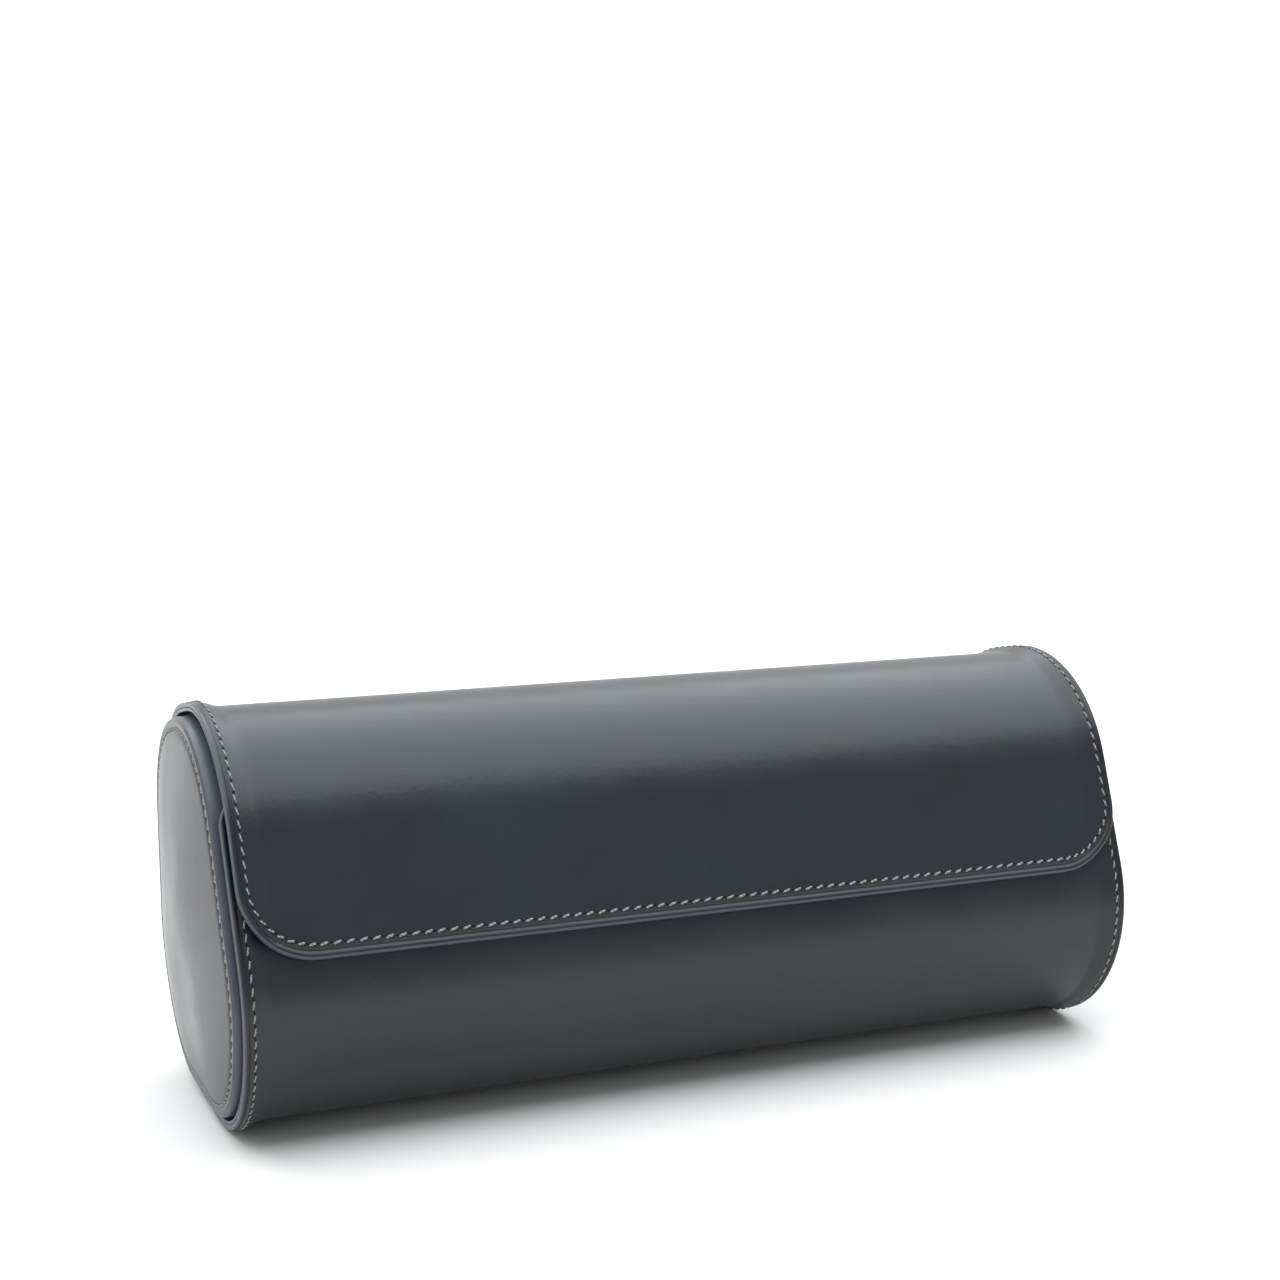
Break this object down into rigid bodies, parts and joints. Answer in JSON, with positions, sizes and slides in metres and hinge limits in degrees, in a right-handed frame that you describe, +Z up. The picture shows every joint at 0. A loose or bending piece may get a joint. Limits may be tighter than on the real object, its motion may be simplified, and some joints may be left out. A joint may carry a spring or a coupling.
{
  "type": "watch roll",
  "caption": "Rounded leather travel roll for watches, with padded domed ends and a wide flap that folds over the front and opens backwards over cushioned compartments.",
  "frame": {"origin": "middle of the flat strip under the roll, on the surface that it rests on", "axes": "+X along the roll to its right end, -Y towards the front where the flap closes, +Z up"},
  "size_m": [0.241, 0.0915, 0.098],
  "materials": {
    "outer_leather": "smooth satin",
    "lining_leather": "satin",
    "fibreboard": "matt",
    "suede": "brushed",
    "foam": "matt",
    "magnet": "plated",
    "keeper_steel": "plain"
  },
  "bodies": {
    "case": {"wrap_cover": "outer_leather", "wrap_lining": "lining_leather", "shell_board": "fibreboard", "shell_suede": "suede", "front_wall_binding": "lining_leather", "hinge_strip_case": "suede", "magnet_left": "magnet", "magnet_right": "magnet", "end_left_lining": "suede", "end_left_board": "fibreboard", "end_left_pad": "foam", "end_left_cover": "outer_leather", "end_right_lining": "suede", "end_right_board": "fibreboard", "end_right_pad": "foam", "end_right_cover": "outer_leather", "divider_left_core": "fibreboard", "divider_left_cover": "suede", "divider_right_core": "fibreboard", "divider_right_cover": "suede", "cushion_left_core": "foam", "cushion_left_sleeve": "suede", "cushion_middle_core": "foam", "cushion_middle_sleeve": "suede", "cushion_right_core": "foam", "cushion_right_sleeve": "suede"},
    "flap": {"flap_cover": "outer_leather", "flap_lining": "lining_leather", "lid_board": "fibreboard", "lid_suede": "suede", "hinge_strip_lid": "suede", "keeper_left": "keeper_steel", "keeper_right": "keeper_steel"}
  },
  "joints": [
    {"name": "flap_hinge", "type": "hinge", "parent": "case", "child": "flap", "pos_m": [0, 0.04342, 0.06578], "axis": [-1, 0, 0], "range_deg": [0, 165]}
  ]
}
